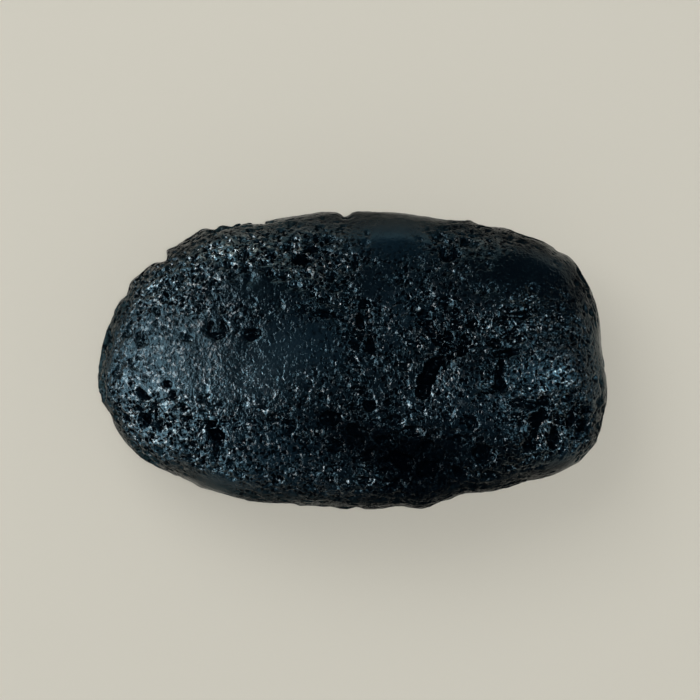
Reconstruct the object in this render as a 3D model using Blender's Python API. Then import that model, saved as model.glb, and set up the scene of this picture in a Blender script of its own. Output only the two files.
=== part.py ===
"""A tektite: one oblong piece of black natural glass, dented and pitted all over.

Units are metres and +Z is up. The long side runs along X. The origin is under the middle of
the stone, on the surface that the small flat patch of its underside rests on. The shape is
worked out in millimetres, and turned to metres when the mesh is made.
"""

import math
import random
from collections import namedtuple

import bmesh
import bpy
import numpy as np
from mathutils import Vector

# Driving dimensions, in millimetres.
MM = 0.001
LENGTH = 60.0
WIDTH = 35.0
TOP_HEIGHT = 12.0
UNDER_DEPTH = 10.6
REST_CUT = 0.4

# The widest outline, seen from above, counter-clockwise from the east end.
OUTLINE = [
    (29.3, 0.8), (29.0, 5.2), (27.3, 9.8), (25.6, 12.2), (23.4, 13.5), (18.3, 15.2),
    (15.3, 15.8), (12.6, 16.4), (10.4, 16.5), (6.3, 17.2), (0.0, 17.4), (-6.2, 17.1),
    (-11.0, 16.3), (-15.4, 15.9), (-19.9, 14.0), (-23.8, 11.2), (-27.1, 7.2), (-29.1, 2.8),
    (-29.6, 0.2), (-29.8, -2.8), (-28.2, -7.2), (-24.7, -11.4), (-19.6, -13.8),
    (-15.5, -15.4), (-9.7, -16.6), (-3.0, -17.1), (-0.8, -17.4), (3.1, -17.4), (5.8, -17.1),
    (8.3, -17.3), (10.6, -16.5), (13.1, -15.6), (16.2, -15.4), (20.8, -14.0), (23.4, -13.3),
    (28.1, -10.1), (29.6, -5.2),
]

# The section is a superellipse. Above the widest level its power is read around the stone:
# the higher it is, the flatter the top and the steeper the wall. Each row is a heading in
# degrees and a power. Below the widest level the section is rounder.
WALLS = [
    (0, 3.6), (35, 3.3), (65, 2.8), (90, 2.5), (125, 2.6), (150, 2.6), (180, 2.5),
    (205, 2.7), (235, 3.4), (270, 4.4), (325, 4.4),
]
UNDER_POWER = 2.4

# Nicks in the outline: place, reach along it, and depth.
Nick = namedtuple("Nick", "x y reach depth")
NICKS = [
    Nick(-0.6, 17.2, 0.6, 0.75),
    Nick(-16.2, 15.5, 0.5, 0.4),
    Nick(-22.5, 12.2, 0.7, 0.85),
    Nick(-26.8, 7.7, 0.7, 0.3),
    Nick(-28.7, -6.2, 1.0, 0.3),
    Nick(-7.6, -16.9, 1.2, 0.3),
    Nick(0.5, -17.3, 0.7, 0.35),
]

# Nicks fade out within this height of the widest level.
NICK_HEIGHT = 4.0

# Broad swells (+) and dents (-) of the upper side: place, reach along X and Y, and height.
Swell = namedtuple("Swell", "x y reach_x reach_y height")
SWELLS = [
    Swell(7.0, -11.5, 8.0, 3.6, -1.5),
    Swell(-2.5, -8.0, 3.6, 2.6, -0.6),
    Swell(14.0, -2.3, 3.0, 2.8, 0.9),
    Swell(24.0, -1.2, 4.0, 3.0, 0.8),
    Swell(17.5, -8.2, 3.4, 2.4, 0.5),
    Swell(22.0, 9.5, 5.0, 3.4, -0.4),
    Swell(4.0, 14.0, 6.0, 2.6, 0.4),
    Swell(-5.0, 12.5, 4.0, 2.4, -0.5),
    Swell(-24.5, -6.5, 4.0, 2.8, -0.4),
    Swell(24.5, -7.5, 3.6, 3.0, -0.6),
    Swell(-13.0, -12.5, 6.0, 2.6, 0.4),
    Swell(9.5, 2.0, 3.4, 3.0, -0.5),
    Swell(1.0, 3.5, 2.2, 4.0, -0.4),
    Swell(18.0, 5.5, 3.6, 2.0, 0.3),
]

# Swells and waves fade out within this height of the widest level.
FADE_HEIGHT = 4.0

# Pits of the upper side: place, full length and width, turn from +X in degrees, and depth.
Pit = namedtuple("Pit", "x y length width turn depth")
PITS = [
    # The groove beside the eastern mound, and the broken ground beyond its upper end.
    Pit(8.3, -3.3, 2.2, 1.9, 70, 1.4),
    Pit(8.6, -2.1, 2.4, 2.0, 65, 1.5),
    Pit(9.1, -0.8, 2.2, 1.8, 50, 1.4),
    Pit(10.1, 0.2, 1.8, 1.1, 30, 1.1),
    Pit(12.6, 1.1, 1.7, 1.1, 40, 0.9),
    Pit(8.7, 4.1, 1.8, 1.1, -20, 0.9),
    Pit(9.7, 2.4, 1.6, 1.1, -20, 0.9),
    Pit(11.0, 2.8, 1.5, 1.4, 0, 0.8),
    Pit(11.8, 5.4, 1.6, 1.1, 20, 0.7),
    Pit(13.9, 4.2, 1.6, 1.3, 0, 0.9),
    Pit(13.3, 2.4, 1.5, 1.3, 0, 0.8),
    Pit(10.7, 6.9, 1.6, 1.3, 0, 0.8),
    # The upright groove east of the mound.
    Pit(17.8, 0.9, 3.6, 1.1, 8, 1.0),
    Pit(17.2, -0.7, 1.2, 2.0, 0, 1.3),
    Pit(17.1, -2.3, 1.4, 2.4, 0, 1.4),
    Pit(16.3, -3.4, 1.4, 1.1, 30, 0.9),
    Pit(18.2, 3.1, 2.4, 1.0, 25, 0.8),
    Pit(17.7, 4.7, 1.6, 1.1, 0, 0.8),
    Pit(15.0, -4.2, 1.5, 1.4, 0, 0.7),
    # The cluster at the south-east.
    Pit(22.1, -4.8, 1.9, 1.7, 0, 1.3),
    Pit(22.0, -6.2, 1.3, 1.6, 0, 1.1),
    Pit(21.4, -7.1, 1.9, 2.1, 0, 1.6),
    Pit(21.3, -8.6, 1.1, 1.9, 0, 1.2),
    Pit(20.6, -10.0, 1.9, 1.7, 0, 1.3),
    Pit(23.4, -9.0, 1.4, 2.7, -5, 1.5),
    Pit(25.6, -6.4, 1.3, 2.4, 0, 1.2),
    Pit(27.1, -7.5, 1.6, 1.6, 0, 1.2),
    # Deep pits of the north side.
    Pit(-5.9, 11.8, 2.1, 1.7, 0, 1.6),
    Pit(-4.8, 12.9, 2.3, 1.2, 15, 1.4),
    Pit(-2.8, 14.1, 2.0, 1.6, 0, 0.7),
    Pit(-2.5, 9.6, 1.5, 1.0, 0, 0.8),
    Pit(10.1, 14.5, 1.6, 1.8, 0, 0.8),
    Pit(13.2, 13.8, 1.4, 1.4, 0, 0.8),
    # Pits of the western half.
    Pit(-11.5, 3.2, 2.2, 1.3, 0, 0.9),
    Pit(-24.2, -4.1, 2.5, 1.0, -10, 1.0),
    Pit(-24.2, -6.9, 1.4, 1.7, 0, 1.3),
    Pit(-15.7, -8.7, 2.1, 1.7, -20, 1.4),
    # The middle.
    Pit(-3.4, 5.5, 3.0, 1.0, 0, 1.1),
    Pit(1.4, 6.5, 1.5, 1.2, 0, 0.9),
    Pit(0.9, 4.7, 1.1, 2.2, 0, 1.1),
    Pit(2.0, 1.8, 1.3, 2.3, 0, 1.2),
    Pit(0.5, 1.8, 1.0, 1.4, 0, 0.8),
    Pit(2.0, -5.2, 1.7, 1.5, 0, 1.2),
    Pit(4.9, -6.8, 2.0, 1.3, 0, 0.8),
    Pit(-7.3, -7.9, 1.8, 1.5, 0, 0.9),
    Pit(17.8, 5.8, 1.5, 1.1, 0, 0.7),
    Pit(19.6, 5.2, 2.9, 1.0, 0, 1.0),
    # The dark hollow of the south side.
    Pit(-2.6, -6.7, 2.8, 1.8, 0, 1.2),
    Pit(-1.9, -10.0, 2.0, 1.5, 10, 0.8),
    Pit(0.6, -8.2, 3.2, 1.5, -14, 1.0),
    Pit(1.8, -11.0, 2.2, 1.5, 35, 0.8),
    Pit(4.0, -9.3, 2.6, 1.4, -25, 0.8),
    Pit(5.6, -11.4, 3.4, 1.9, -30, 1.0),
    Pit(7.2, -8.3, 2.6, 1.4, -10, 0.8),
    Pit(8.6, -9.9, 2.0, 1.5, 25, 0.8),
    Pit(8.8, -12.6, 2.9, 1.8, 10, 1.0),
    Pit(5.2, -14.0, 2.6, 1.4, 10, 0.8),
    Pit(1.5, -13.8, 2.0, 1.3, 0, 0.8),
    Pit(12.4, -9.1, 1.9, 1.5, -20, 0.8),
    Pit(13.8, -7.3, 1.5, 1.9, 0, 0.8),
    Pit(15.4, -10.8, 3.0, 2.4, 0, 1.0),
    Pit(12.6, -12.9, 2.6, 1.6, -15, 0.9),
    Pit(15.8, -13.4, 1.8, 1.5, 0, 0.8),
]

# A pit's bowl: 1 is a paraboloid, lower is flatter inside with a sharper rim.
BOWL_POWER = 0.5

# Pits of the walls and the underside, which are strewn.
STREWN_SEED = 27
STREWN_COUNT = 150
STREWN_WIDTH = (1.6, 3.6)
STREWN_DEPTH = (0.26, 0.38)
STREWN_MOST_UP = 0.28
REST_CLEARANCE = 4.0

# Low waves that keep the stone from looking turned or moulded.
WAVE_SEED = 5
WAVE_COUNT = 14
WAVE_LENGTH = (9.0, 26.0)
WAVE_HEIGHT = 0.045

# The mesh: how finely the stone is shaped, and the share of the faces that is kept.
SPHERE_SUBDIVISIONS = 7
KEPT_SHARE = 0.114
SNAP = 0.03

GLASS_COLOR = (0.012, 0.015, 0.017, 1.0)
GLASS_ROUGHNESS = 0.38


def clear_scene():
    for obj in list(bpy.data.objects):
        bpy.data.objects.remove(obj, do_unlink=True)


def wrapped(angle):
    return (angle + math.pi) % (2 * math.pi) - math.pi


def read_around(rows, angle):
    """The value at each angle, on a smooth closed curve through rows of (angle, value)."""
    rows = sorted((wrapped(turn), value) for turn, value in rows)
    knots = np.array([turn for turn, _ in rows])
    values = np.array([value for _, value in rows])
    knots = np.concatenate([knots[-2:] - 2 * math.pi, knots, knots[:2] + 2 * math.pi])
    values = np.concatenate([values[-2:], values, values[:2]])
    slopes = np.gradient(values, knots)
    left = np.clip(np.searchsorted(knots, angle) - 1, 0, len(knots) - 2)
    span = knots[left + 1] - knots[left]
    t = (angle - knots[left]) / span
    rise = t * t * (3 - 2 * t)
    return (
        (1 - rise) * values[left]
        + rise * values[left + 1]
        + t * (1 - t) ** 2 * span * slopes[left]
        - t * t * (1 - t) * span * slopes[left + 1]
    )


def plan_radius(angle):
    """Distance from the middle to the outline, without its nicks."""
    return read_around([(math.atan2(y, x), math.hypot(x, y)) for x, y in OUTLINE], angle)


def nick_depths(angle):
    """How far the nicks cut into the widest level."""
    total = np.zeros(len(angle))
    for nick in NICKS:
        along = wrapped(angle - math.atan2(nick.y, nick.x)) * math.hypot(nick.x, nick.y)
        total += nick.depth * np.exp(-((along / nick.reach) ** 2))
    return total


def smooth_stone(directions):
    """Points of the undented stone, one for each unit direction, around its widest level."""
    x, y, z = directions.T
    angle = np.arctan2(y * WIDTH, x * LENGTH)
    power = read_around([(math.radians(heading), value) for heading, value in WALLS], angle)
    power = np.where(z > 0, power, UNDER_POWER)
    stretch = (np.hypot(x, y) ** power + np.abs(z) ** power) ** (-1 / power)
    height = np.where(z > 0, TOP_HEIGHT, UNDER_DEPTH) * z * stretch
    nicked = nick_depths(angle) * np.exp(-((height / NICK_HEIGHT) ** 2))
    out = (plan_radius(angle) - nicked) * np.hypot(x, y) * stretch
    return np.stack([out * np.cos(angle), out * np.sin(angle), height], axis=1)


def nearness(points, spot):
    """1 at a spot of the upper side, falling off smoothly with its reach."""
    far = ((points[:, 0] - spot.x) / spot.reach_x) ** 2
    far += ((points[:, 1] - spot.y) / spot.reach_y) ** 2
    return np.exp(-far) * (points[:, 2] > 0)


def swell_heights(points):
    """The broad swells and dents of the upper side, which leave the widest level as it is."""
    total = sum(swell.height * nearness(points, swell) for swell in SWELLS)
    return total * np.clip(points[:, 2] / FADE_HEIGHT, 0, 1)


def wave_heights(points):
    rng = random.Random(WAVE_SEED)
    total = np.zeros(len(points))
    for _ in range(WAVE_COUNT):
        heading = Vector([rng.gauss(0, 1) for _ in range(3)]).normalized()
        pitch = 2 * math.pi / rng.uniform(*WAVE_LENGTH)
        phase = rng.uniform(0, 2 * math.pi)
        total += WAVE_HEIGHT * np.sin(points @ np.array(heading) * pitch + phase)
    return total * np.clip(np.abs(points[:, 2]) / FADE_HEIGHT, 0, 1)


def strewn_directions():
    """Directions of the strewn pits, none of them on the upper side."""
    rng = random.Random(STREWN_SEED)
    found = []
    while len(found) < STREWN_COUNT:
        heading = Vector([rng.gauss(0, 1) for _ in range(3)]).normalized()
        if heading.z < STREWN_MOST_UP:
            found.append((heading, rng.uniform(*STREWN_WIDTH), rng.uniform(*STREWN_DEPTH)))
    return found


def sink(depths, points, normals, centre, size, turn, depth):
    """Deepen the points that one pit reaches. Where pits meet, the deeper one counts."""
    normal = Vector(normals[centre])
    ahead = Vector((math.cos(turn), math.sin(turn), 0))
    across = normal.cross(ahead).normalized()
    along = across.cross(normal)
    offset = points - points[centre]
    far = (offset @ np.array(along) / (size[0] / 2)) ** 2
    far += (offset @ np.array(across) / (size[1] / 2)) ** 2
    inside = (far < 1) & (np.abs(offset @ np.array(normal)) < max(size))
    bowl = depth * (1 - far[inside]) ** BOWL_POWER
    depths[inside] = np.maximum(depths[inside], bowl)


def pit_depths(points, normals):
    depths = np.zeros(len(points))
    upper = np.flatnonzero(points[:, 2] > 0)
    for pit in PITS:
        gap = np.hypot(points[upper, 0] - pit.x, points[upper, 1] - pit.y)
        centre = upper[np.argmin(gap)]
        size = (pit.length, pit.width)
        sink(depths, points, normals, centre, size, math.radians(pit.turn), pit.depth)
    for heading, width, share in strewn_directions():
        place = smooth_stone(np.array([heading]))[0]
        if place[2] < 0 and math.hypot(place[0], place[1]) < REST_CLEARANCE:
            continue
        centre = np.argmin(np.linalg.norm(points - place, axis=1))
        sink(depths, points, normals, centre, (width, width), 0.0, width * share)
    return depths


def shape_points(mesh, points):
    """Set the mesh's points and return its normals."""
    mesh.vertices.foreach_set("co", points.astype(np.float32).ravel())
    mesh.update()
    normals = np.empty(len(points) * 3, np.float32)
    mesh.vertices.foreach_get("normal", normals)
    return normals.reshape(-1, 3).astype(float)


def make_stone(name):
    mesh = bpy.data.meshes.new(name)
    ball = bmesh.new()
    bmesh.ops.create_icosphere(ball, subdivisions=SPHERE_SUBDIVISIONS, radius=1)
    ball.to_mesh(mesh)
    ball.free()
    directions = np.empty(len(mesh.vertices) * 3, np.float32)
    mesh.vertices.foreach_get("co", directions)
    directions = directions.reshape(-1, 3).astype(float)
    directions /= np.linalg.norm(directions, axis=1, keepdims=True)

    points = smooth_stone(directions)
    normals = shape_points(mesh, points)
    points += normals * (swell_heights(points) + wave_heights(points))[:, None]
    normals = shape_points(mesh, points)
    points -= normals * pit_depths(points, normals)[:, None]
    points[:, 2] = np.maximum(points[:, 2] + UNDER_DEPTH - REST_CUT, 0)
    middle = (points.min(axis=0) + points.max(axis=0)) / 2
    points[:, :2] -= middle[:2]
    shape_points(mesh, points * MM)
    return mesh


def thin_out(mesh, name):
    """A mesh with fewer faces, which keeps its resting patch flat."""
    stone = bpy.data.objects.new(name, mesh)
    bpy.context.scene.collection.objects.link(stone)
    decimate = stone.modifiers.new("Fewer faces", "DECIMATE")
    decimate.ratio = KEPT_SHARE
    graph = bpy.context.evaluated_depsgraph_get()
    thinned = bpy.data.meshes.new_from_object(stone.evaluated_get(graph))
    bpy.data.objects.remove(stone, do_unlink=True)
    bpy.data.meshes.remove(mesh)
    thinned.name = name
    for vertex in thinned.vertices:
        if vertex.co.z < SNAP * MM:
            vertex.co.z = 0.0
    thinned.shade_smooth()
    return thinned


def glass_material():
    material = bpy.data.materials.new("tektite_glass")
    material.use_nodes = True
    shader = material.node_tree.nodes["Principled BSDF"]
    shader.inputs["Base Color"].default_value = GLASS_COLOR
    shader.inputs["Roughness"].default_value = GLASS_ROUGHNESS
    shader.inputs["Metallic"].default_value = 0.0
    return material


def main():
    clear_scene()
    collection = bpy.data.collections.new("tektite")
    bpy.context.scene.collection.children.link(collection)
    mesh = thin_out(make_stone("tektite"), "tektite")
    mesh.materials.append(glass_material())
    collection.objects.link(bpy.data.objects.new("tektite", mesh))


main()
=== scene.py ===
"""The looks of the tektite: a finer stone over the solid, its glass, light and camera.

The stone's lengths are in millimetres, and are turned to metres when its mesh is made. The
outline, section, swells and larger pits are the solid's own. What is finer is added.
"""

import math
import random
from collections import namedtuple

import bmesh
import bpy
import numpy as np
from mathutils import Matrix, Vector, kdtree, noise


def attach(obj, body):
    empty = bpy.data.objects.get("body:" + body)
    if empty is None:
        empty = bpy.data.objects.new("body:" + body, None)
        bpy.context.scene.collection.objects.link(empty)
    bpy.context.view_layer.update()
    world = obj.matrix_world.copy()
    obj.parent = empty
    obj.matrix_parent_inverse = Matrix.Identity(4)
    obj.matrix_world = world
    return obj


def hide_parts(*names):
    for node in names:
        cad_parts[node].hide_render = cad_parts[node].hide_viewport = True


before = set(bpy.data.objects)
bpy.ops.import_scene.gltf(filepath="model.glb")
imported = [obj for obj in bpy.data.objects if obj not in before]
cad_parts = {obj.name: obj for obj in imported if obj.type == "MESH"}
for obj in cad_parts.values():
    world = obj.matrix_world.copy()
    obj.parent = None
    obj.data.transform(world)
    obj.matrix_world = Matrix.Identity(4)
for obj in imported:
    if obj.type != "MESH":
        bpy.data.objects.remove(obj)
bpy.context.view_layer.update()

MM = 0.001

# ---------------------------------------------------------------- the solid's own shape

LENGTH = 60.0
WIDTH = 35.0
TOP_HEIGHT = 12.0
UNDER_DEPTH = 10.6
REST_CUT = 0.4

# The widest outline, seen from above, counter-clockwise from the east end.
OUTLINE = [
    (29.3, 0.8), (29.0, 5.2), (27.3, 9.8), (25.6, 12.2), (23.4, 13.5), (18.3, 15.2),
    (15.3, 15.8), (12.6, 16.4), (10.4, 16.5), (6.3, 17.2), (0.0, 17.4), (-6.2, 17.1),
    (-11.0, 16.3), (-15.4, 15.9), (-19.9, 14.0), (-23.8, 11.2), (-27.1, 7.2), (-29.1, 2.8),
    (-29.6, 0.2), (-29.8, -2.8), (-28.2, -7.2), (-24.7, -11.4), (-19.6, -13.8),
    (-15.5, -15.4), (-9.7, -16.6), (-3.0, -17.1), (-0.8, -17.4), (3.1, -17.4), (5.8, -17.1),
    (8.3, -17.3), (10.6, -16.5), (13.1, -15.6), (16.2, -15.4), (20.8, -14.0), (23.4, -13.3),
    (28.1, -10.1), (29.6, -5.2),
]

# The section is a superellipse. Above the widest level its power is read around the stone:
# the higher it is, the flatter the top and the steeper the wall. Each row is a heading in
# degrees and a power. Below the widest level the section is rounder.
WALLS = [
    (0, 3.6), (35, 3.3), (65, 2.8), (90, 2.5), (125, 2.6), (150, 2.6), (180, 2.5),
    (205, 2.7), (235, 3.4), (270, 4.4), (325, 4.4),
]
UNDER_POWER = 2.4

# Nicks in the outline: place, reach along it, and depth. They fade out within NICK_HEIGHT of
# the widest level.
Nick = namedtuple("Nick", "x y reach depth")
NICKS = [
    Nick(-0.6, 17.2, 0.6, 0.75),
    Nick(-16.2, 15.5, 0.5, 0.4),
    Nick(-22.5, 12.2, 0.7, 0.85),
    Nick(-26.8, 7.7, 0.7, 0.3),
    Nick(-28.7, -6.2, 1.0, 0.3),
    Nick(-7.6, -16.9, 1.2, 0.3),
    Nick(0.5, -17.3, 0.7, 0.35),
]
NICK_HEIGHT = 4.0

# Broad swells (+) and dents (-) of the upper side: place, reach along X and Y, and height.
Swell = namedtuple("Swell", "x y reach_x reach_y height")
SWELLS = [
    Swell(7.0, -11.5, 8.0, 3.6, -1.5),
    Swell(-2.5, -8.0, 3.6, 2.6, -0.6),
    Swell(14.0, -2.3, 3.0, 2.8, 0.9),
    Swell(24.0, -1.2, 4.0, 3.0, 0.8),
    Swell(17.5, -8.2, 3.4, 2.4, 0.5),
    Swell(22.0, 9.5, 5.0, 3.4, -0.4),
    Swell(4.0, 14.0, 6.0, 2.6, 0.4),
    Swell(-5.0, 12.5, 4.0, 2.4, -0.5),
    Swell(-24.5, -6.5, 4.0, 2.8, -0.4),
    Swell(24.5, -7.5, 3.6, 3.0, -0.6),
    Swell(-13.0, -12.5, 6.0, 2.6, 0.4),
    Swell(9.5, 2.0, 3.4, 3.0, -0.5),
    Swell(1.0, 3.5, 2.2, 4.0, -0.4),
    Swell(18.0, 5.5, 3.6, 2.0, 0.3),
]

# Swells and waves fade out within this height of the widest level.
FADE_HEIGHT = 4.0

# Pits of the upper side: place, full length and width, turn from +X in degrees, and depth.
Pit = namedtuple("Pit", "x y length width turn depth")
PITS = [
    # The groove beside the eastern mound, and the broken ground beyond its upper end.
    Pit(8.3, -3.3, 2.2, 1.9, 70, 1.4),
    Pit(8.6, -2.1, 2.4, 2.0, 65, 1.5),
    Pit(9.1, -0.8, 2.2, 1.8, 50, 1.4),
    Pit(10.1, 0.2, 1.8, 1.1, 30, 1.1),
    Pit(12.6, 1.1, 1.7, 1.1, 40, 0.9),
    Pit(8.7, 4.1, 1.8, 1.1, -20, 0.9),
    Pit(9.7, 2.4, 1.6, 1.1, -20, 0.9),
    Pit(11.0, 2.8, 1.5, 1.4, 0, 0.8),
    Pit(11.8, 5.4, 1.6, 1.1, 20, 0.7),
    Pit(13.9, 4.2, 1.6, 1.3, 0, 0.9),
    Pit(13.3, 2.4, 1.5, 1.3, 0, 0.8),
    Pit(10.7, 6.9, 1.6, 1.3, 0, 0.8),
    # The upright groove east of the mound.
    Pit(17.8, 0.9, 3.6, 1.1, 8, 1.0),
    Pit(17.2, -0.7, 1.2, 2.0, 0, 1.3),
    Pit(17.1, -2.3, 1.4, 2.4, 0, 1.4),
    Pit(16.3, -3.4, 1.4, 1.1, 30, 0.9),
    Pit(18.2, 3.1, 2.4, 1.0, 25, 0.8),
    Pit(17.7, 4.7, 1.6, 1.1, 0, 0.8),
    Pit(15.0, -4.2, 1.5, 1.4, 0, 0.7),
    # The cluster at the south-east.
    Pit(22.1, -4.8, 1.9, 1.7, 0, 1.3),
    Pit(22.0, -6.2, 1.3, 1.6, 0, 1.1),
    Pit(21.4, -7.1, 1.9, 2.1, 0, 1.6),
    Pit(21.3, -8.6, 1.1, 1.9, 0, 1.2),
    Pit(20.6, -10.0, 1.9, 1.7, 0, 1.3),
    Pit(23.4, -9.0, 1.4, 2.7, -5, 1.5),
    Pit(25.6, -6.4, 1.3, 2.4, 0, 1.2),
    Pit(27.1, -7.5, 1.6, 1.6, 0, 1.2),
    # Deep pits of the north side.
    Pit(-5.9, 11.8, 2.1, 1.7, 0, 1.6),
    Pit(-4.8, 12.9, 2.3, 1.2, 15, 1.4),
    Pit(-2.8, 14.1, 2.0, 1.6, 0, 0.7),
    Pit(-2.5, 9.6, 1.5, 1.0, 0, 0.8),
    Pit(10.1, 14.5, 1.6, 1.8, 0, 0.8),
    Pit(13.2, 13.8, 1.4, 1.4, 0, 0.8),
    # Pits of the western half.
    Pit(-11.5, 3.2, 2.2, 1.3, 0, 0.9),
    Pit(-24.2, -4.1, 2.5, 1.0, -10, 1.0),
    Pit(-24.2, -6.9, 1.4, 1.7, 0, 1.3),
    Pit(-15.7, -8.7, 2.1, 1.7, -20, 1.4),
    # The middle.
    Pit(-3.4, 5.5, 3.0, 1.0, 0, 1.1),
    Pit(1.4, 6.5, 1.5, 1.2, 0, 0.9),
    Pit(0.9, 4.7, 1.1, 2.2, 0, 1.1),
    Pit(2.0, 1.8, 1.3, 2.3, 0, 1.2),
    Pit(0.5, 1.8, 1.0, 1.4, 0, 0.8),
    Pit(2.0, -5.2, 1.7, 1.5, 0, 1.2),
    Pit(4.9, -6.8, 2.0, 1.3, 0, 0.8),
    Pit(-7.3, -7.9, 1.8, 1.5, 0, 0.9),
    Pit(17.8, 5.8, 1.5, 1.1, 0, 0.7),
    Pit(19.6, 5.2, 2.9, 1.0, 0, 1.0),
    # The dark hollow of the south side.
    Pit(-2.6, -6.7, 2.8, 1.8, 0, 1.2),
    Pit(-1.9, -10.0, 2.0, 1.5, 10, 0.8),
    Pit(0.6, -8.2, 3.2, 1.5, -14, 1.0),
    Pit(1.8, -11.0, 2.2, 1.5, 35, 0.8),
    Pit(4.0, -9.3, 2.6, 1.4, -25, 0.8),
    Pit(5.6, -11.4, 3.4, 1.9, -30, 1.0),
    Pit(7.2, -8.3, 2.6, 1.4, -10, 0.8),
    Pit(8.6, -9.9, 2.0, 1.5, 25, 0.8),
    Pit(8.8, -12.6, 2.9, 1.8, 10, 1.0),
    Pit(5.2, -14.0, 2.6, 1.4, 10, 0.8),
    Pit(1.5, -13.8, 2.0, 1.3, 0, 0.8),
    Pit(12.4, -9.1, 1.9, 1.5, -20, 0.8),
    Pit(13.8, -7.3, 1.5, 1.9, 0, 0.8),
    Pit(15.4, -10.8, 3.0, 2.4, 0, 1.0),
    Pit(12.6, -12.9, 2.6, 1.6, -15, 0.9),
    Pit(15.8, -13.4, 1.8, 1.5, 0, 0.8),
]

# A pit's bowl: 1 is a paraboloid, lower is flatter inside with a sharper rim.
BOWL_POWER = 0.5

# Strewn pits of the walls and the underside: width, and depth as a share of it. Their
# headings rise no more than STREWN_MOST_UP, and they stay clear of the patch to rest on.
STREWN_SEED = 27
STREWN_COUNT = 150
STREWN_WIDTH = (1.6, 3.6)
STREWN_DEPTH = (0.26, 0.38)
STREWN_MOST_UP = 0.28
REST_CLEARANCE = 4.0

# Low waves that keep the stone from looking turned or moulded.
WAVE_SEED = 5
WAVE_COUNT = 14
WAVE_LENGTH = (9.0, 26.0)
WAVE_HEIGHT = 0.045

# ---------------------------------------------------------------- what the looks add

# The mesh: how finely the stone is shaped, how far its points crowd together on the upper
# side, and how many triangles are kept.
SPHERE_SUBDIVISIONS = 9
UPWARD_CROWDING = 0.25
MOST_TRIANGLES = 196000

# Smaller nicks (+) and bumps (-) of the outline.
LITTLE_NICKS = [
    Nick(29.6, -0.5, 1.8, -0.12),
    Nick(24.4, 12.9, 0.6, 0.3),
    Nick(21.8, 14.3, 1.2, -0.15),
    Nick(18.0, 15.4, 1.4, -0.35),
    Nick(13.8, 16.4, 0.7, -0.35),
    Nick(9.2, 16.9, 1.4, -0.22),
    Nick(-1.1, 17.1, 0.4, 0.45),
    Nick(-3.6, 17.4, 1.0, -0.15),
    Nick(-10.7, 16.4, 0.6, 0.1),
    Nick(-12.0, 16.2, 0.8, -0.15),
    Nick(-14.3, 15.9, 0.5, 0.4),
    Nick(-17.4, 15.3, 1.0, -0.3),
    Nick(-21.6, 12.9, 0.5, -0.25),
    Nick(-22.4, 11.9, 0.4, 0.35),
    Nick(-25.8, 9.4, 0.6, -0.25),
    Nick(-28.4, 4.6, 0.6, 0.1),
    Nick(-28.3, 6.2, 0.7, -0.15),
    Nick(-29.7, -4.6, 0.8, -0.15),
    Nick(-17.8, -14.9, 0.8, -0.25),
    Nick(-16.0, -15.4, 4.0, -0.12),
    Nick(-12.0, -16.6, 0.6, -0.18),
    Nick(-6.2, -17.1, 0.6, -0.15),
    Nick(-3.5, -17.2, 4.0, -0.1),
    Nick(-2.4, -17.2, 0.6, 0.1),
    Nick(10.4, -16.6, 0.7, 0.2),
    Nick(11.5, -16.2, 1.8, -0.15),
    Nick(18.6, -14.9, 1.0, -0.12),
    Nick(21.5, -13.9, 2.6, -0.2),
    Nick(26.7, -11.9, 0.6, -0.25),
    Nick(28.6, -9.6, 0.6, -0.2),
]

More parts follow.
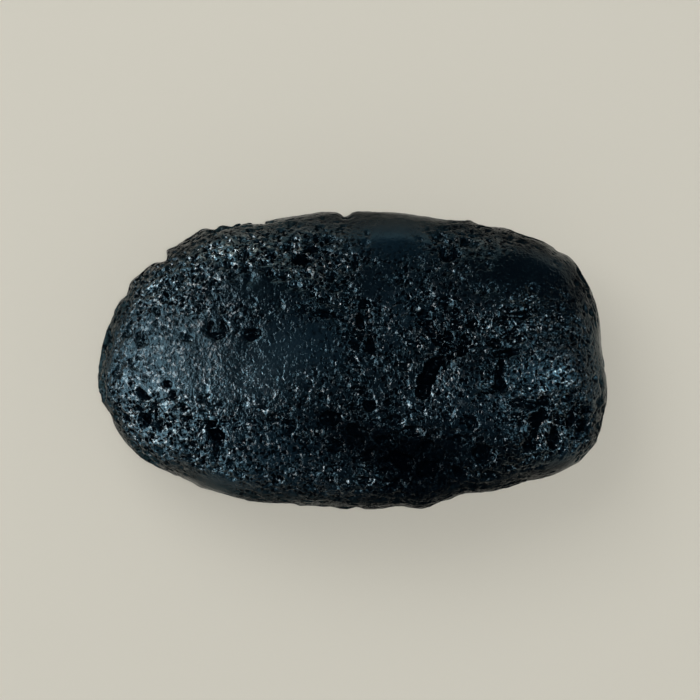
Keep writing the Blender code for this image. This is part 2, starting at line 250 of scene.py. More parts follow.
# Smaller pits with a place of their own.
LITTLE_PITS = [
    # The groove beside the eastern mound, and the broken ground beyond its upper end.
    Pit(11.3, 0.5, 1.6, 0.9, 15, 0.9),
    Pit(7.2, 1.8, 1.2, 1.1, 0, 0.6),
    Pit(11.9, 4.2, 1.1, 1.2, 0, 0.7),
    Pit(6.3, 2.9, 1.1, 1.1, 0, 0.6),
    Pit(6.1, -0.8, 1.2, 1.0, 0, 0.6),
    Pit(10.7, 1.5, 1.5, 1.2, 60, 0.9),
    Pit(9.2, 3.3, 1.6, 1.2, -60, 0.9),
    Pit(8.1, 5.3, 1.4, 1.0, 0, 0.7),
    # The upright groove east of the mound.
    Pit(16.5, 2.0, 1.5, 1.3, 0, 0.9),
    Pit(19.4, 2.5, 1.8, 1.1, 10, 0.8),
    Pit(17.5, -3.2, 1.3, 1.2, 0, 0.9),
    # The cluster at the south-east.
    Pit(19.4, -4.9, 2.2, 0.8, -10, 1.0),
    Pit(20.9, -5.1, 1.8, 0.9, 0, 1.0),
    Pit(19.1, -6.4, 1.3, 0.7, 0, 0.6),
    Pit(23.9, -6.9, 0.8, 1.1, 0, 0.8),
    Pit(24.3, -10.3, 1.1, 0.9, 0, 0.7),
    Pit(25.1, -4.3, 1.7, 0.9, 0, 0.9),
    Pit(27.3, -5.7, 1.3, 1.0, 0, 0.8),
    Pit(26.2, -8.6, 1.3, 1.3, 0, 0.9),
    Pit(27.3, -9.3, 0.8, 0.8, 0, 0.5),
    Pit(18.0, -12.4, 1.5, 0.8, 0, 0.7),
    # Deep pits of the north side.
    Pit(-4.2, 14.2, 1.1, 0.7, 0, 0.8),
    Pit(-7.4, 13.4, 1.5, 0.7, 0, 0.8),
    Pit(-9.4, 12.2, 1.3, 0.9, 0, 0.9),
    Pit(-10.0, 11.3, 2.0, 0.8, 0, 0.7),
    Pit(-9.5, 10.2, 1.1, 0.9, 0, 0.8),
    Pit(-8.0, 9.6, 1.7, 0.7, 0, 0.8),
    Pit(-12.4, 12.1, 0.8, 2.2, 0, 0.9),
    Pit(-12.3, 10.7, 0.8, 1.1, 0, 0.7),
    Pit(-0.8, 9.2, 1.0, 0.6, 0, 0.5),
    Pit(0.3, 11.4, 0.9, 1.6, 0, 0.8),
    Pit(-2.8, 12.0, 0.6, 1.3, 30, 0.6),
    Pit(-2.3, 10.9, 1.6, 1.0, 0, 0.6),
    Pit(14.1, 14.5, 1.6, 0.6, 0, 0.5),
    # Pits of the western half.
    Pit(-18.9, 2.6, 1.6, 0.9, 0, 0.5),
    Pit(-24.7, -5.6, 1.2, 0.7, 0, 0.7),
    Pit(-22.6, -7.4, 1.7, 0.8, 0, 0.9),
    Pit(-26.1, -6.8, 1.2, 1.1, 0, 0.8),
    Pit(-21.4, -2.6, 1.1, 0.8, 0, 0.7),
    Pit(-20.8, -4.0, 1.0, 1.3, 0, 0.6),
    Pit(-22.8, -5.2, 1.2, 0.9, 0, 0.7),
    Pit(-19.5, -5.4, 1.3, 1.0, 0, 0.7),
    Pit(-19.0, -6.6, 1.7, 0.6, 0, 0.6),
    Pit(-27.3, -1.3, 1.6, 1.3, 0, 0.6),
    Pit(-16.4, -7.4, 1.8, 0.9, -10, 0.9),
    Pit(-15.1, -9.6, 1.1, 0.9, 0, 0.8),
    Pit(-15.6, -10.8, 0.9, 1.6, 0, 0.7),
    Pit(-22.2, -10.4, 2.0, 0.8, -15, 0.7),
    Pit(-18.5, -11.3, 1.3, 0.8, 0, 0.6),
    Pit(-14.0, -11.9, 1.1, 1.1, 0, 0.7),
    # The middle.
    Pit(-5.4, 6.1, 1.1, 0.8, 0, 0.7),
    Pit(-3.6, 7.0, 1.2, 0.7, 0, 0.8),
    Pit(-2.7, 7.0, 0.5, 1.1, 0, 0.6),
    Pit(1.2, 3.2, 1.3, 1.0, 0, 0.8),
    Pit(-0.6, 6.9, 1.3, 0.6, 0, 0.6),
    Pit(1.1, -3.5, 2.5, 0.9, 0, 0.8),
    Pit(0.1, -5.3, 1.8, 0.9, 0, 0.8),
    Pit(4.2, -4.6, 0.9, 1.0, 0, 0.8),
    Pit(-9.1, -6.4, 1.7, 0.9, 0, 0.9),
    Pit(-5.4, -9.4, 1.3, 1.1, 0, 0.8),
    Pit(21.2, 8.2, 1.4, 1.0, 0, 0.5),
]

# Ring pits, which leave a knob in their middle: place, the ring's radius, the groove's width
# and depth, and the headings in degrees that the groove runs between. Its round pits lie
# this share of its width apart.
Ring = namedtuple("Ring", "x y radius width depth start end")
RINGS = [
    Ring(-15.6, 3.7, 0.95, 0.7, 0.8, 130, 400),
    Ring(-15.8, -4.5, 0.9, 0.5, 0.5, 150, 330),
    Ring(10.9, 12.3, 0.55, 0.7, 0.8, 120, 330),
    Ring(11.5, 12.4, 0.5, 0.7, 0.8, 270, 430),
    Ring(-22.7, -6.5, 0.8, 0.6, 0.6, 100, 330),
    Ring(1.3, -4.6, 1.0, 0.6, 0.5, 0, 200),
    Ring(8.4, 7.4, 0.7, 0.5, 0.4, 0, 270),
    Ring(21.0, 6.4, 0.7, 0.6, 0.5, 90, 330),
]
RING_STEP = 0.4

# Pits are ragged: their outlines are bent by noise of these sizes, by so much.
RAGGED_SEED = 1795472194
RAGGED_LAYERS = [(1.1, 0.28), (0.45, 0.18)]

# Small pits over the whole skin: length, width as a share of it, and depth as a share of it.
# The higher SMALL_RARITY is, the rarer the longer ones are.
SMALL_SEED = 11
SMALL_COUNT = 12000
SMALL_LENGTH = (0.4, 1.2)
SMALL_RARITY = 2.5
SMALL_STRETCH = (0.45, 1.0)
SMALL_DEPTH = (0.2, 0.5)

# Small pits are shallower inside large ones: by this share where those are this deep.
SHALLOWING = 0.6
SHALLOWING_DEPTH = 0.3

# Pits this deep, large and small, are as glossy as pits get.
GLOSSY_LARGE = 0.5
GLOSSY_SMALL = 0.3

# Where the skin has more pits and a stronger grain (+) than elsewhere, or less (-), seen from
# above: place, reach, and the change of each.
Zone = namedtuple("Zone", "x y reach_x reach_y pits grain")
MEAN_PITS = 0.3
MEAN_GRAIN = 0.75
ZONES = [
    Zone(-6.0, 12.0, 9.0, 3.4, 0.7, 0.25),
    Zone(-20.5, 9.0, 8.0, 5.0, 0.2, 0.25),
    Zone(-24.0, -6.5, 5.0, 3.5, 0.2, 0.2),
    Zone(12.0, 2.5, 6.5, 4.0, 0.5, 0.25),
    Zone(24.0, -7.5, 5.0, 4.0, 0.5, 0.2),
    Zone(5.0, -11.0, 9.0, 4.0, 0.3, 0.0),
    Zone(12.0, 13.5, 3.5, 2.5, 0.4, 0.25),
    Zone(19.5, 5.0, 3.5, 2.5, 0.3, 0.25),
    Zone(1.0, 4.0, 2.6, 4.0, 0.5, 0.25),
    Zone(-6.0, -8.5, 6.0, 6.0, 0.3, 0.25),
    Zone(-11.0, 8.7, 4.2, 2.0, -0.4, -0.65),
    Zone(4.5, 14.5, 5.5, 2.6, -0.5, -0.6),
    Zone(20.5, 10.5, 6.0, 3.0, -0.4, -0.55),
    Zone(-6.0, 2.2, 5.5, 3.4, -0.35, -0.3),
    Zone(-17.0, -14.6, 4.0, 1.6, -0.4, -0.65),
    Zone(-19.0, -0.5, 7.5, 4.5, -0.35, 0.1),
    Zone(23.0, -1.0, 5.0, 2.6, -0.3, 0.2),
    Zone(12.5, -4.0, 4.0, 2.4, -0.2, 0.1),
    Zone(25.0, -12.2, 3.0, 1.3, -0.4, -0.75),
    Zone(2.2, 8.7, 2.6, 1.6, -0.3, -0.45),
    Zone(-10.5, -0.5, 4.0, 3.0, -0.2, -0.15),
    Zone(30.0, 1.5, 2.0, 7.0, -0.4, -0.5),
    Zone(-10.0, 17.0, 9.0, 1.6, -0.2, -0.35),
    Zone(8.0, 17.0, 8.0, 1.4, -0.3, -0.4),
]

# Spots of the upper side: place, reach, and how much. Painted shade dims the glass's
# reflection, most of all in the south side's hollow and on the rim.
Spot = namedtuple("Spot", "x y reach_x reach_y amount")
PAINTED_SHADE_SPOTS = [
    Spot(1.0, -9.0, 4.0, 2.2, 0.8),
    Spot(-2.8, -7.0, 2.0, 1.2, 0.6),
    Spot(6.5, -11.5, 4.5, 3.0, 1.0),
    Spot(12.0, -10.5, 4.5, 2.6, 0.6),
    Spot(10.0, -14.0, 4.5, 1.6, 0.5),
    Spot(-8.0, -10.5, 4.5, 1.8, 0.3),
    Spot(-9.0, -14.0, 5.0, 2.0, 0.35),
    Spot(1.0, 17.6, 7.0, 1.8, 0.7),
    Spot(12.5, 16.7, 6.0, 2.0, 0.8),
    Spot(22.0, 14.0, 4.0, 1.6, 0.7),
    Spot(26.5, 9.0, 2.2, 3.5, 0.7),
    Spot(23.5, -13.8, 5.0, 1.8, 0.7),
    Spot(-12.0, -16.8, 7.0, 2.0, 0.8),
    Spot(-18.5, -15.2, 5.0, 1.8, 0.6),
    Spot(3.0, -17.2, 9.0, 2.2, 1.0),
    Spot(17.0, -15.5, 6.0, 1.8, 0.9),
    Spot(26.0, -12.5, 3.0, 1.6, 0.4),
]

# Where the glass shines more (+) or less (-) than its mean.
MEAN_SHEEN = 0.62
SHEEN_LIMITS = (0.1, 3.5)
SHEEN = [
    Spot(-19.0, -4.5, 10.0, 4.0, 0.2),
    Spot(-26.5, 3.0, 3.0, 4.5, -0.2),
    Spot(-27.5, -4.5, 3.0, 3.0, -0.2),
    Spot(-10.0, -1.5, 2.6, 2.0, 0.9),
    Spot(-7.0, 1.5, 3.5, 2.2, 0.8),
    Spot(-13.5, -3.5, 4.0, 3.0, 0.2),
    Spot(-16.0, -7.5, 2.5, 2.0, 0.25),
    Spot(-12.0, -10.5, 2.5, 1.5, -0.2),
    Spot(8.5, -4.8, 2.4, 1.2, 1.0),
    Spot(6.0, -6.9, 1.6, 1.2, 0.6),
    Spot(21.8, -2.0, 3.2, 2.2, 2.6),
    Spot(28.5, 0.5, 1.5, 5.0, 0.8),
    Spot(26.5, -1.5, 1.6, 2.2, -0.8),
    Spot(24.0, -7.0, 5.0, 4.0, 0.55),
    Spot(22.8, -10.8, 3.5, 2.0, 0.8),
    Spot(-24.5, 10.3, 3.5, 2.3, 1.4),
    Spot(-13.5, 13.4, 6.0, 2.2, 1.4),
    Spot(-3.5, 7.5, 4.0, 1.8, 0.35),
    Spot(-25.0, -8.5, 3.5, 2.5, 0.3),
    Spot(-14.0, -13.5, 4.0, 1.5, 0.6),
    Spot(1.5, -13.5, 3.0, 1.4, 0.9),
    Spot(17.5, 5.5, 3.0, 3.2, 0.9),
    Spot(-8.0, 10.5, 3.0, 2.0, 0.5),
    Spot(13.0, -8.5, 3.5, 2.0, -0.25),
    Spot(-6.0, -10.5, 6.0, 1.8, -0.2),
    Spot(0.0, -8.0, 3.0, 3.0, -0.2),
    Spot(4.0, 13.5, 6.0, 2.4, -0.35),
    Spot(-23.0, 4.0, 3.5, 2.5, -0.15),
    Spot(16.0, -3.5, 2.0, 2.5, 0.4),
    Spot(12.5, -3.5, 3.0, 2.5, 0.35),
    Spot(19.5, 0.5, 2.6, 3.0, 0.6),
]

# Where the skin is satin rather than glossy.
SATIN = [
    Spot(-20.0, 1.0, 8.0, 5.5, 1.0),
    Spot(-12.0, -3.0, 7.0, 4.0, 0.6),
    Spot(-7.5, 0.5, 4.5, 4.0, 0.4),
    Spot(24.0, -1.0, 5.0, 3.0, 0.35),
]

# Painted sheen: a lighter bluish base colour for reflected light, more (+) or less (-) than its
# mean.
MEAN_PAINTED_SHEEN = 0.14
MOST_PAINTED_SHEEN = 5
PAINTED_SHEEN_SPOTS = [
    Spot(-5.2, 2.1, 5.0, 3.5, 0.4),
    Spot(5.6, 5.4, 3.0, 3.5, 0.35),
    Spot(4.5, 14.2, 6.0, 2.8, 0.55),
    Spot(23.0, -1.8, 4.5, 2.6, 0.9),
    Spot(-9.6, -10.5, 5.5, 3.5, 0.6),
    Spot(14.2, -5.0, 4.0, 3.5, 0.35),
    Spot(30.0, 1.5, 2.0, 6.5, 2.7),
    Spot(-30.5, -1.0, 2.6, 8.0, 3.6),
    Spot(-26.0, -12.0, 5.0, 3.5, 2.5),
    Spot(-28.5, 8.5, 3.5, 3.5, 2.8),
    Spot(13.5, 1.5, 7.0, 4.5, -0.12),
    Spot(23.0, -8.0, 5.0, 4.0, -0.12),
    Spot(-13.0, 17.2, 7.0, 2.4, 2.4),
    Spot(-16.5, -16.0, 5.0, 2.2, 2.2),
    Spot(-5.0, -17.6, 5.0, 2.6, 1.2),
    Spot(12.0, 17.0, 8.0, 2.2, 0.5),
    Spot(26.0, 12.8, 3.5, 2.2, 0.9),
    Spot(27.5, -11.5, 3.0, 3.0, 1.2),
    Spot(7.0, -11.5, 8.0, 3.6, -0.14),
    Spot(-1.0, -8.5, 4.5, 2.0, -0.12),
]

# The walls' reflection is dimmed, which paints shade on them: from where the Z of its normal
# falls below WALL_START, and wholly so once that has fallen by WALL_SPAN more.
WALL_START = 0.8
WALL_SPAN = 0.4

# How far below the widest level a spot of the upper side fades out.
WRAP_HEIGHT = 4.0

# Fine flow lines: place, reach, heading in degrees, and height. They are noise drawn out
# along the heading, and end where their nearness falls below FLOW_EDGE.
Flow = namedtuple("Flow", "x y reach_x reach_y turn height")
FLOWS = [
    Flow(-16.5, 0.6, 4.5, 2.8, -25, 0.07),
    Flow(-11.5, -2.0, 4.0, 2.6, -30, 0.09),
    Flow(13.0, -6.5, 4.0, 2.6, -50, 0.07),
]
FLOW_LENGTH = 3.5
FLOW_WIDTH = 0.5
FLOW_EDGE = 0.02

# Lumps of the skin between the pits: size and height of each layer. They are higher where
# the skin is rough, which is its grain and a share of its large pits' depth.
LUMP_LAYERS = [(2.6, 0.07), (1.1, 0.06), (0.55, 0.045)]
LEAST_LUMPS = 0.3
PIT_ROUGHNESS = 0.8
MOST_ROUGH = 1.5

# ---------------------------------------------------------------- shaping


def wrapped(angle):
    return (angle + math.pi) % (2 * math.pi) - math.pi


def read_around(rows, angle):
    """The value at each angle, on a smooth closed curve through rows of (angle, value)."""
    rows = sorted((wrapped(turn), value) for turn, value in rows)
    knots = np.array([turn for turn, _ in rows])
    values = np.array([value for _, value in rows])
    knots = np.concatenate([knots[-2:] - 2 * math.pi, knots, knots[:2] + 2 * math.pi])
    values = np.concatenate([values[-2:], values, values[:2]])
    slopes = np.gradient(values, knots)
    left = np.clip(np.searchsorted(knots, angle) - 1, 0, len(knots) - 2)
    span = knots[left + 1] - knots[left]
    t = (angle - knots[left]) / span
    rise = t * t * (3 - 2 * t)
    return (
        (1 - rise) * values[left]
        + rise * values[left + 1]
        + t * (1 - t) ** 2 * span * slopes[left]
        - t * t * (1 - t) * span * slopes[left + 1]
    )


def plan_radius(angle):
    """Distance from the middle to the outline, without its nicks."""
    return read_around([(math.atan2(y, x), math.hypot(x, y)) for x, y in OUTLINE], angle)


def nick_depths(angle):
    """How far the nicks cut into the widest level."""
    total = np.zeros(len(angle))
    for nick in NICKS + LITTLE_NICKS:
        along = wrapped(angle - math.atan2(nick.y, nick.x)) * math.hypot(nick.x, nick.y)
        total += nick.depth * np.exp(-((along / nick.reach) ** 2))
    return total


def smooth_stone(directions):
    """Points of the undented stone, one for each unit direction, around its widest level."""
    x, y, z = directions.T
    angle = np.arctan2(y * WIDTH, x * LENGTH)
    power = read_around([(math.radians(heading), value) for heading, value in WALLS], angle)
    power = np.where(z > 0, power, UNDER_POWER)
    stretch = (np.hypot(x, y) ** power + np.abs(z) ** power) ** (-1 / power)
    height = np.where(z > 0, TOP_HEIGHT, UNDER_DEPTH) * z * stretch
    nicked = nick_depths(angle) * np.exp(-((height / NICK_HEIGHT) ** 2))
    out = (plan_radius(angle) - nicked) * np.hypot(x, y) * stretch
    return np.stack([out * np.cos(angle), out * np.sin(angle), height], axis=1)


def crowd_upward(directions):
    """Move directions on the sphere towards +Z, which keeps its triangles' shapes."""
    k = UPWARD_CROWDING
    shrink = 1 / (1 + k * directions[:, 2])
    aside = directions[:, :2] * (math.sqrt(1 - k * k) * shrink)[:, None]
    return np.column_stack([aside, (directions[:, 2] + k) * shrink])


def nearness(points, spot):
    """1 at a spot of the upper side, falling off with its reach and just below the rim."""
    far = ((points[:, 0] - spot.x) / spot.reach_x) ** 2
    far += ((points[:, 1] - spot.y) / spot.reach_y) ** 2
    return np.exp(-far) * np.clip(1 + points[:, 2] / WRAP_HEIGHT, 0, 1)


def swell_heights(points):
    """The broad swells and dents of the upper side, which leave the widest level as it is."""
    total = sum(swell.height * nearness(points, swell) for swell in SWELLS)
    return total * np.clip(points[:, 2] / FADE_HEIGHT, 0, 1)


def wave_heights(points):
    rng = random.Random(WAVE_SEED)
    total = np.zeros(len(points))
    for _ in range(WAVE_COUNT):
        heading = Vector([rng.gauss(0, 1) for _ in range(3)]).normalized()
        pitch = 2 * math.pi / rng.uniform(*WAVE_LENGTH)
        phase = rng.uniform(0, 2 * math.pi)
        total += WAVE_HEIGHT * np.sin(points @ np.array(heading) * pitch + phase)
    return total * np.clip(np.abs(points[:, 2]) / FADE_HEIGHT, 0, 1)


def zone_values(points):
    """How pitted and how grainy the skin is at each point, from 0 to 1."""
    pitted = np.full(len(points), MEAN_PITS)
    grain = np.full(len(points), MEAN_GRAIN)
    for zone in ZONES:
        near = nearness(points, zone)
        pitted += zone.pits * near
        grain += zone.grain * near
    return np.clip(pitted, 0, 1), np.clip(grain, 0, 1)


def spot_values(points, spots):
    return sum(spot.amount * nearness(points, spot) for spot in spots)


def flow_heights(points):
    total = np.zeros(len(points))
    for flow in FLOWS:
        near = nearness(points, flow)
        chosen = np.flatnonzero(near > FLOW_EDGE)
        c, s = math.cos(math.radians(flow.turn)), math.sin(math.radians(flow.turn))
        x, y = points[chosen, 0], points[chosen, 1]
        along = (c * x + s * y) / FLOW_LENGTH
        across = (c * y - s * x) / FLOW_WIDTH
        lines = [noise.noise((u, v, flow.x)) for u, v in zip(along, across)]
        total[chosen] += flow.height * near[chosen] * np.array(lines)
    return total


def lump_heights(points, rough):
    total = np.zeros(len(points))
    for size, height in LUMP_LAYERS:
        values = np.array([noise.noise(point) for point in points / size])
        total += height * values
    return total * (LEAST_LUMPS + rough)


class Skin:
    """The stone's points and normals, and how deep pits sink below them."""

    def __init__(self, points, normals):
        self.points = points
        self.normals = normals
        self.depths = np.zeros(len(points))
        self.tree = kdtree.KDTree(len(points))
        for index, point in enumerate(points):
            self.tree.insert(point, index)
        self.tree.balance()
        self.bends = np.zeros((len(points), 3))
        noise.seed_set(RAGGED_SEED)
        for size, bend in RAGGED_LAYERS:
            self.bends += bend * np.array([noise.noise_vector(p) for p in points / size])
        self.most_bend = sum(bend for _, bend in RAGGED_LAYERS)

    def sink(self, centre, size, turn, depth):
        """Deepen the points that one pit reaches. Where pits meet, the deeper one counts."""
        place, index, _ = self.tree.find(centre)
        normal = Vector(self.normals[index])
        ahead = Vector((math.cos(turn), math.sin(turn), 0))
        across = normal.cross(ahead).normalized()
        along = across.cross(normal)
        found = self.tree.find_range(place, max(size) / 2 + 2 * self.most_bend)
        near = np.fromiter((i for _, i, _ in found), int, len(found))
        offset = self.points[near] + self.bends[near] - self.points[index] - self.bends[index]
        u = offset @ np.array(along) / (size[0] / 2)
        v = offset @ np.array(across) / (size[1] / 2)
        far = u * u + v * v
        inside = far < 1
        bowl = depth * (1 - far[inside]) ** BOWL_POWER
        reached = near[inside]
        self.depths[reached] = np.maximum(self.depths[reached], bowl)

    def take_depths(self):
        """The depths so far. What sinks after this is counted from nothing."""
        taken = self.depths
        self.depths = np.zeros(len(self.points))
        return taken


def ring_pits(ring):
    """The round pits that make up a ring's groove."""
    step_length = RING_STEP * ring.width
    steps = math.ceil(math.radians(ring.end - ring.start) * ring.radius / step_length)
    for step in range(steps + 1):
        turn = math.radians(ring.start + (ring.end - ring.start) * step / steps)
        x = ring.x + ring.radius * math.cos(turn)
        y = ring.y + ring.radius * math.sin(turn)
        yield Pit(x, y, ring.width, ring.width, 0, ring.depth)


def sink_named_pits(skin):
    upper = np.flatnonzero(skin.points[:, 2] > 0)
    for pit in PITS + LITTLE_PITS + [pit for ring in RINGS for pit in ring_pits(ring)]:
        gap = np.hypot(skin.points[upper, 0] - pit.x, skin.points[upper, 1] - pit.y)
        centre = skin.points[upper[np.argmin(gap)]]
        skin.sink(centre, (pit.length, pit.width), math.radians(pit.turn), pit.depth)


def sink_strewn_pits(skin):
    """The same strewn pits as the solid's: its walls and its underside have them."""
    rng = random.Random(STREWN_SEED)
    made = 0
    while made < STREWN_COUNT:
        heading = Vector([rng.gauss(0, 1) for _ in range(3)]).normalized()
        if heading.z >= STREWN_MOST_UP:
            continue
        made += 1
        width = rng.uniform(*STREWN_WIDTH)
        depth = width * rng.uniform(*STREWN_DEPTH)
        place = smooth_stone(np.array([heading]))[0]
        if place[2] < 0 and math.hypot(place[0], place[1]) < REST_CLEARANCE:
            continue
        skin.sink(place, (width, width), 0.0, depth)


def sink_small_pits(skin, pitted):
    rng = random.Random(SMALL_SEED)
    least, most = SMALL_LENGTH
    for _ in range(SMALL_COUNT):
        index = rng.randrange(len(skin.points))
        size = least + (most - least) * rng.random() ** SMALL_RARITY
        stretch = rng.uniform(*SMALL_STRETCH)
        turn = rng.uniform(0, math.pi)
        depth = size * rng.uniform(*SMALL_DEPTH)
        if rng.random() < pitted[index]:
            skin.sink(skin.points[index], (size, size * stretch), turn, depth)


def shape_points(mesh, points):
    """Set the mesh's points and return its normals."""
    mesh.vertices.foreach_set("co", points.astype(np.float32).ravel())
    mesh.update()
    normals = np.empty(len(points) * 3, np.float32)
    mesh.vertices.foreach_get("normal", normals)
    return normals.reshape(-1, 3).astype(float)


def make_ball(name):
    """The mesh of a fine ball, and the direction of each of its points."""
    mesh = bpy.data.meshes.new(name)
    ball = bmesh.new()
    bmesh.ops.create_icosphere(ball, subdivisions=SPHERE_SUBDIVISIONS, radius=1)
    ball.to_mesh(mesh)
    ball.free()
    directions = np.empty(len(mesh.vertices) * 3, np.float32)
    mesh.vertices.foreach_get("co", directions)
    directions = directions.reshape(-1, 3).astype(float)
    return mesh, directions / np.linalg.norm(directions, axis=1, keepdims=True)


def make_stone(name):
    """The stone's fine mesh, with what its glass needs to know at each point."""
    mesh, directions = make_ball(name)
    points = smooth_stone(crowd_upward(directions))
    normals = shape_points(mesh, points)
    points += normals * (swell_heights(points) + wave_heights(points))[:, None]
    normals = shape_points(mesh, points)

    wall = np.clip((WALL_START - normals[:, 2]) / WALL_SPAN, 0, 1)
    pitted, grain = zone_values(points)
    skin = Skin(points, normals)
    sink_named_pits(skin)
    sink_strewn_pits(skin)
    large = skin.take_depths()
    sink_small_pits(skin, pitted)
    small = skin.take_depths()
    kept = 1 - SHALLOWING * np.clip(large / SHALLOWING_DEPTH, 0, 1)
    points = points - normals * (large + small * kept)[:, None]
    normals = shape_points(mesh, points)

    spots = {"painted_shade": PAINTED_SHADE_SPOTS, "satin": SATIN, "painted_sheen": PAINTED_SHEEN_SPOTS, "sheen": SHEEN}
    values = {label: spot_values(points, rows) for label, rows in spots.items()}
    looks = {
        "pit_depth": large,
        "gloss": np.clip(large / GLOSSY_LARGE + small / GLOSSY_SMALL, 0, 1),
        "grain": grain,
        "wall": wall,
        # painted shade, which dims the glass's reflection
        "painted_shade": np.clip(values["painted_shade"], 0, 1),
        "satin": np.clip(values["satin"], 0, 1),
        # painted sheen: a lighter base colour that stands in for reflected light
        "painted_sheen": np.clip(MEAN_PAINTED_SHEEN + values["painted_sheen"], 0, MOST_PAINTED_SHEEN),
        "sheen": np.clip(MEAN_SHEEN + values["sheen"], *SHEEN_LIMITS),
    }

    rough = np.clip(grain + PIT_ROUGHNESS * np.clip(large, 0, 1), 0, MOST_ROUGH)
    points += normals * (lump_heights(points, rough) + flow_heights(points))[:, None]
    points[:, 2] = np.maximum(points[:, 2] + UNDER_DEPTH - REST_CUT, 0)
    middle = (points.min(axis=0) + points.max(axis=0)) / 2
    points[:, :2] -= middle[:2]
    shape_points(mesh, points * MM)
    for label, column in looks.items():
        attribute = mesh.attributes.new(label, "FLOAT", "POINT")
        attribute.data.foreach_set("value", column.astype(np.float32))
    return mesh


def thin_out(mesh, name):
    """An object whose mesh has at most MOST_TRIANGLES triangles."""
    stone = bpy.data.objects.new(name, mesh)
    bpy.context.scene.collection.objects.link(stone)
    decimate = stone.modifiers.new("Fewer faces", "DECIMATE")
    decimate.ratio = min(1.0, MOST_TRIANGLES / len(mesh.polygons))
    graph = bpy.context.evaluated_depsgraph_get()
    thinned = bpy.data.meshes.new_from_object(stone.evaluated_get(graph))
    stone.modifiers.clear()
    stone.data = thinned
    bpy.data.meshes.remove(mesh)
    thinned.shade_smooth()
    return stone


# ---------------------------------------------------------------- glass

GLASS_IOR = 1.5

# Etched micro-pits, one to a cell: the cell's size, and the depth of the deepest. A pit fills
# this share of its cell, and its outline is bent by noise of this size, by up to this reach.
COARSE_PITS = (0.62, 0.135)
FINE_PITS = (0.36, 0.11)
CELL_SHARE = 0.6
BEND_SIZE = 0.5
BEND_REACH = 0.6
GRIT_HEIGHT = 0.07

# Here and there a cell of this size is a fresh chip.
FRESH_SIZE = 0.34

# Noise that breaks up an even look: its size and its detail.
GRIT_NOISE = (0.26, 2.0)
PIT_SHADE_NOISE = (0.5, 3.0)
PAINTED_SHADE_NOISE = (0.8, 3.0)
BLACK_NOISE = (6.0, 3.0)
SPECK_NOISE = (0.35, 2.0)
DUST_NOISE = (0.9, 4.0)

# The colours of mirrored light on etched glass and on fresh chips.
ETCHED_TINT = (0.48, 0.82, 1.0, 1)
FRESH_TINT = (0.93, 0.98, 1.0, 1)

# The colours below the gloss: the glass at its darkest and lightest, dust, and painted sheen.
DARKEST_GLASS = (0.0002, 0.0006, 0.0016, 1)
LIGHTEST_GLASS = (0.0006, 0.0016, 0.003, 1)
DUST_COLOR = (0.007, 0.015, 0.02, 1)
# Painted sheen: lighter bluish colours that stand in for reflected light, greyer on the walls.
PAINTED_SHEEN_COLOR = (0.024, 0.072, 0.122, 1)
WALL_PAINTED_SHEEN_COLOR = (0.032, 0.068, 0.082, 1)
PAINTED_SHEEN_COVER = 0.2


class Nodes:
    """A material's nodes. What the methods take and return are the nodes' outputs."""

    def __init__(self, tree):
        self.tree = tree
        coordinates = self.node("ShaderNodeTexCoord")
        in_mm = self.node("ShaderNodeVectorMath", operation="SCALE")
        in_mm.inputs["Scale"].default_value = 1 / MM
        self.link(coordinates.outputs["Object"], in_mm.inputs[0])
        self.place = in_mm.outputs[0]

    def node(self, kind, **settings):
        made = self.tree.nodes.new(kind)
        for key, value in settings.items():
            setattr(made, key, value)
        return made

    def link(self, value, socket):
        self.tree.links.new(value, socket)

    def combined(self, operation, one, other):
        made = self.node("ShaderNodeMath", operation=operation)
        self.link(one, made.inputs[0])
        if isinstance(other, float):
            made.inputs[1].default_value = other
        else:
            self.link(other, made.inputs[1])
        return made.outputs[0]

    def product(self, first, *others):
        for other in others:
            first = self.combined("MULTIPLY", first, other)
        return first

    def mapped(self, value, start, end, low, high):
        """The value, moved smoothly from low to high while it goes from start to end."""
        made = self.node("ShaderNodeMapRange", interpolation_type="SMOOTHSTEP")
        made.inputs["From Min"].default_value = start
        made.inputs["From Max"].default_value = end
        made.inputs["To Min"].default_value = low
        made.inputs["To Max"].default_value = high
        self.link(value, made.inputs["Value"])
        return made.outputs["Result"]

    def noise_of(self, size, detail, output="Fac"):
        made = self.node("ShaderNodeTexNoise")
        made.inputs["Scale"].default_value = 1 / size
        made.inputs["Detail"].default_value = detail
        self.link(self.place, made.inputs["Vector"])
        return made.outputs[output]

    def bent_place(self):
        """The place, moved about by noise, so that what is drawn there is ragged."""
        shift = self.node("ShaderNodeVectorMath", operation="MULTIPLY_ADD")
        self.link(self.noise_of(BEND_SIZE, 1.0, "Color"), shift.inputs[0])
        shift.inputs[1].default_value = (BEND_REACH, BEND_REACH, BEND_REACH)
        self.link(self.place, shift.inputs[2])
        return shift.outputs[0]

    def cells_of(self, size, place):
        """Distance from the middle of the cell, and two chances that each cell has."""
        cells = self.node("ShaderNodeTexVoronoi", feature="F1")
        cells.inputs["Scale"].default_value = 1 / size
        self.link(place, cells.inputs["Vector"])
        chances = self.node("ShaderNodeSeparateColor")
        self.link(cells.outputs["Color"], chances.inputs[0])
        return cells.outputs["Distance"], chances.outputs["Red"], chances.outputs["Green"]

    def read(self, label):
        """What the mesh knows at each point."""
        return self.node("ShaderNodeAttribute", attribute_name=label).outputs["Fac"]

    def blended(self, share, one, other):
        """From one colour to the other. Each is an output or a plain colour."""
        made = self.node("ShaderNodeMix", data_type="RGBA")
        factor, first, second = made.inputs[0], made.inputs[6], made.inputs[7]
        self.link(share, factor)
        for color, socket in ((one, first), (other, second)):
            if isinstance(color, tuple):
                socket.default_value = color
            else:
                self.link(color, socket)
        return made.outputs[2]


